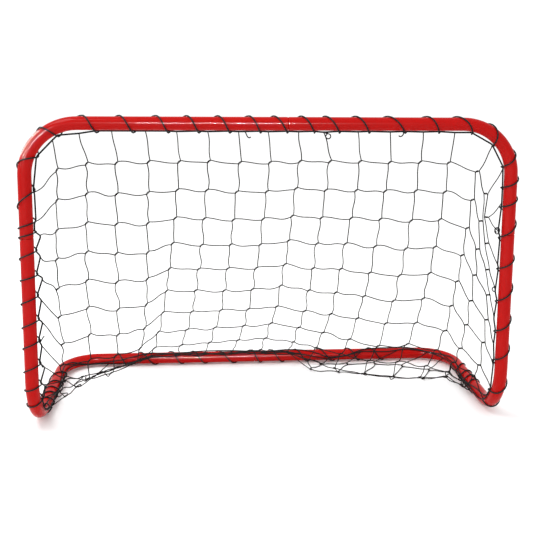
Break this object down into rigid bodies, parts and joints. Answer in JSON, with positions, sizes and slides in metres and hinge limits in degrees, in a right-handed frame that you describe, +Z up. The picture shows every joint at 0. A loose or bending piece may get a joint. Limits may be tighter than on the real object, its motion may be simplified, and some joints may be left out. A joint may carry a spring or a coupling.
{
  "type": "practice goal with net",
  "caption": "Knock-down practice goal of bent red tube with a black knotted net laced to the frame by a spiral cord.",
  "frame": {"origin": "on the floor, under the middle of the goal's outline", "axes": "+X to the right as seen from in front of the mouth, +Y from the mouth to the rear bar, +Z up"},
  "size_m": [0.926, 0.386, 0.603],
  "materials": {
    "tube": "glossy red paint",
    "lacing": "black braided cord",
    "border": "black braided cord",
    "net": "black twisted twine"
  },
  "bodies": {
    "root": {"top_left_tube": "tube", "top_right_tube": "tube", "left_leg_tube": "tube", "right_leg_tube": "tube", "rear_left_tube": "tube", "rear_right_tube": "tube", "left_lacing": "lacing", "top_lacing": "lacing", "right_lacing": "lacing", "left_rail_lacing": "lacing", "right_rail_lacing": "lacing", "rear_lacing": "lacing", "mouth_border_cord": "border", "ground_border_cord": "border", "back_net": "net", "left_side_net": "net", "right_side_net": "net", "left_slack_net": "net", "right_slack_net": "net", "lacing_knots": "lacing"}
  },
  "joints": []
}
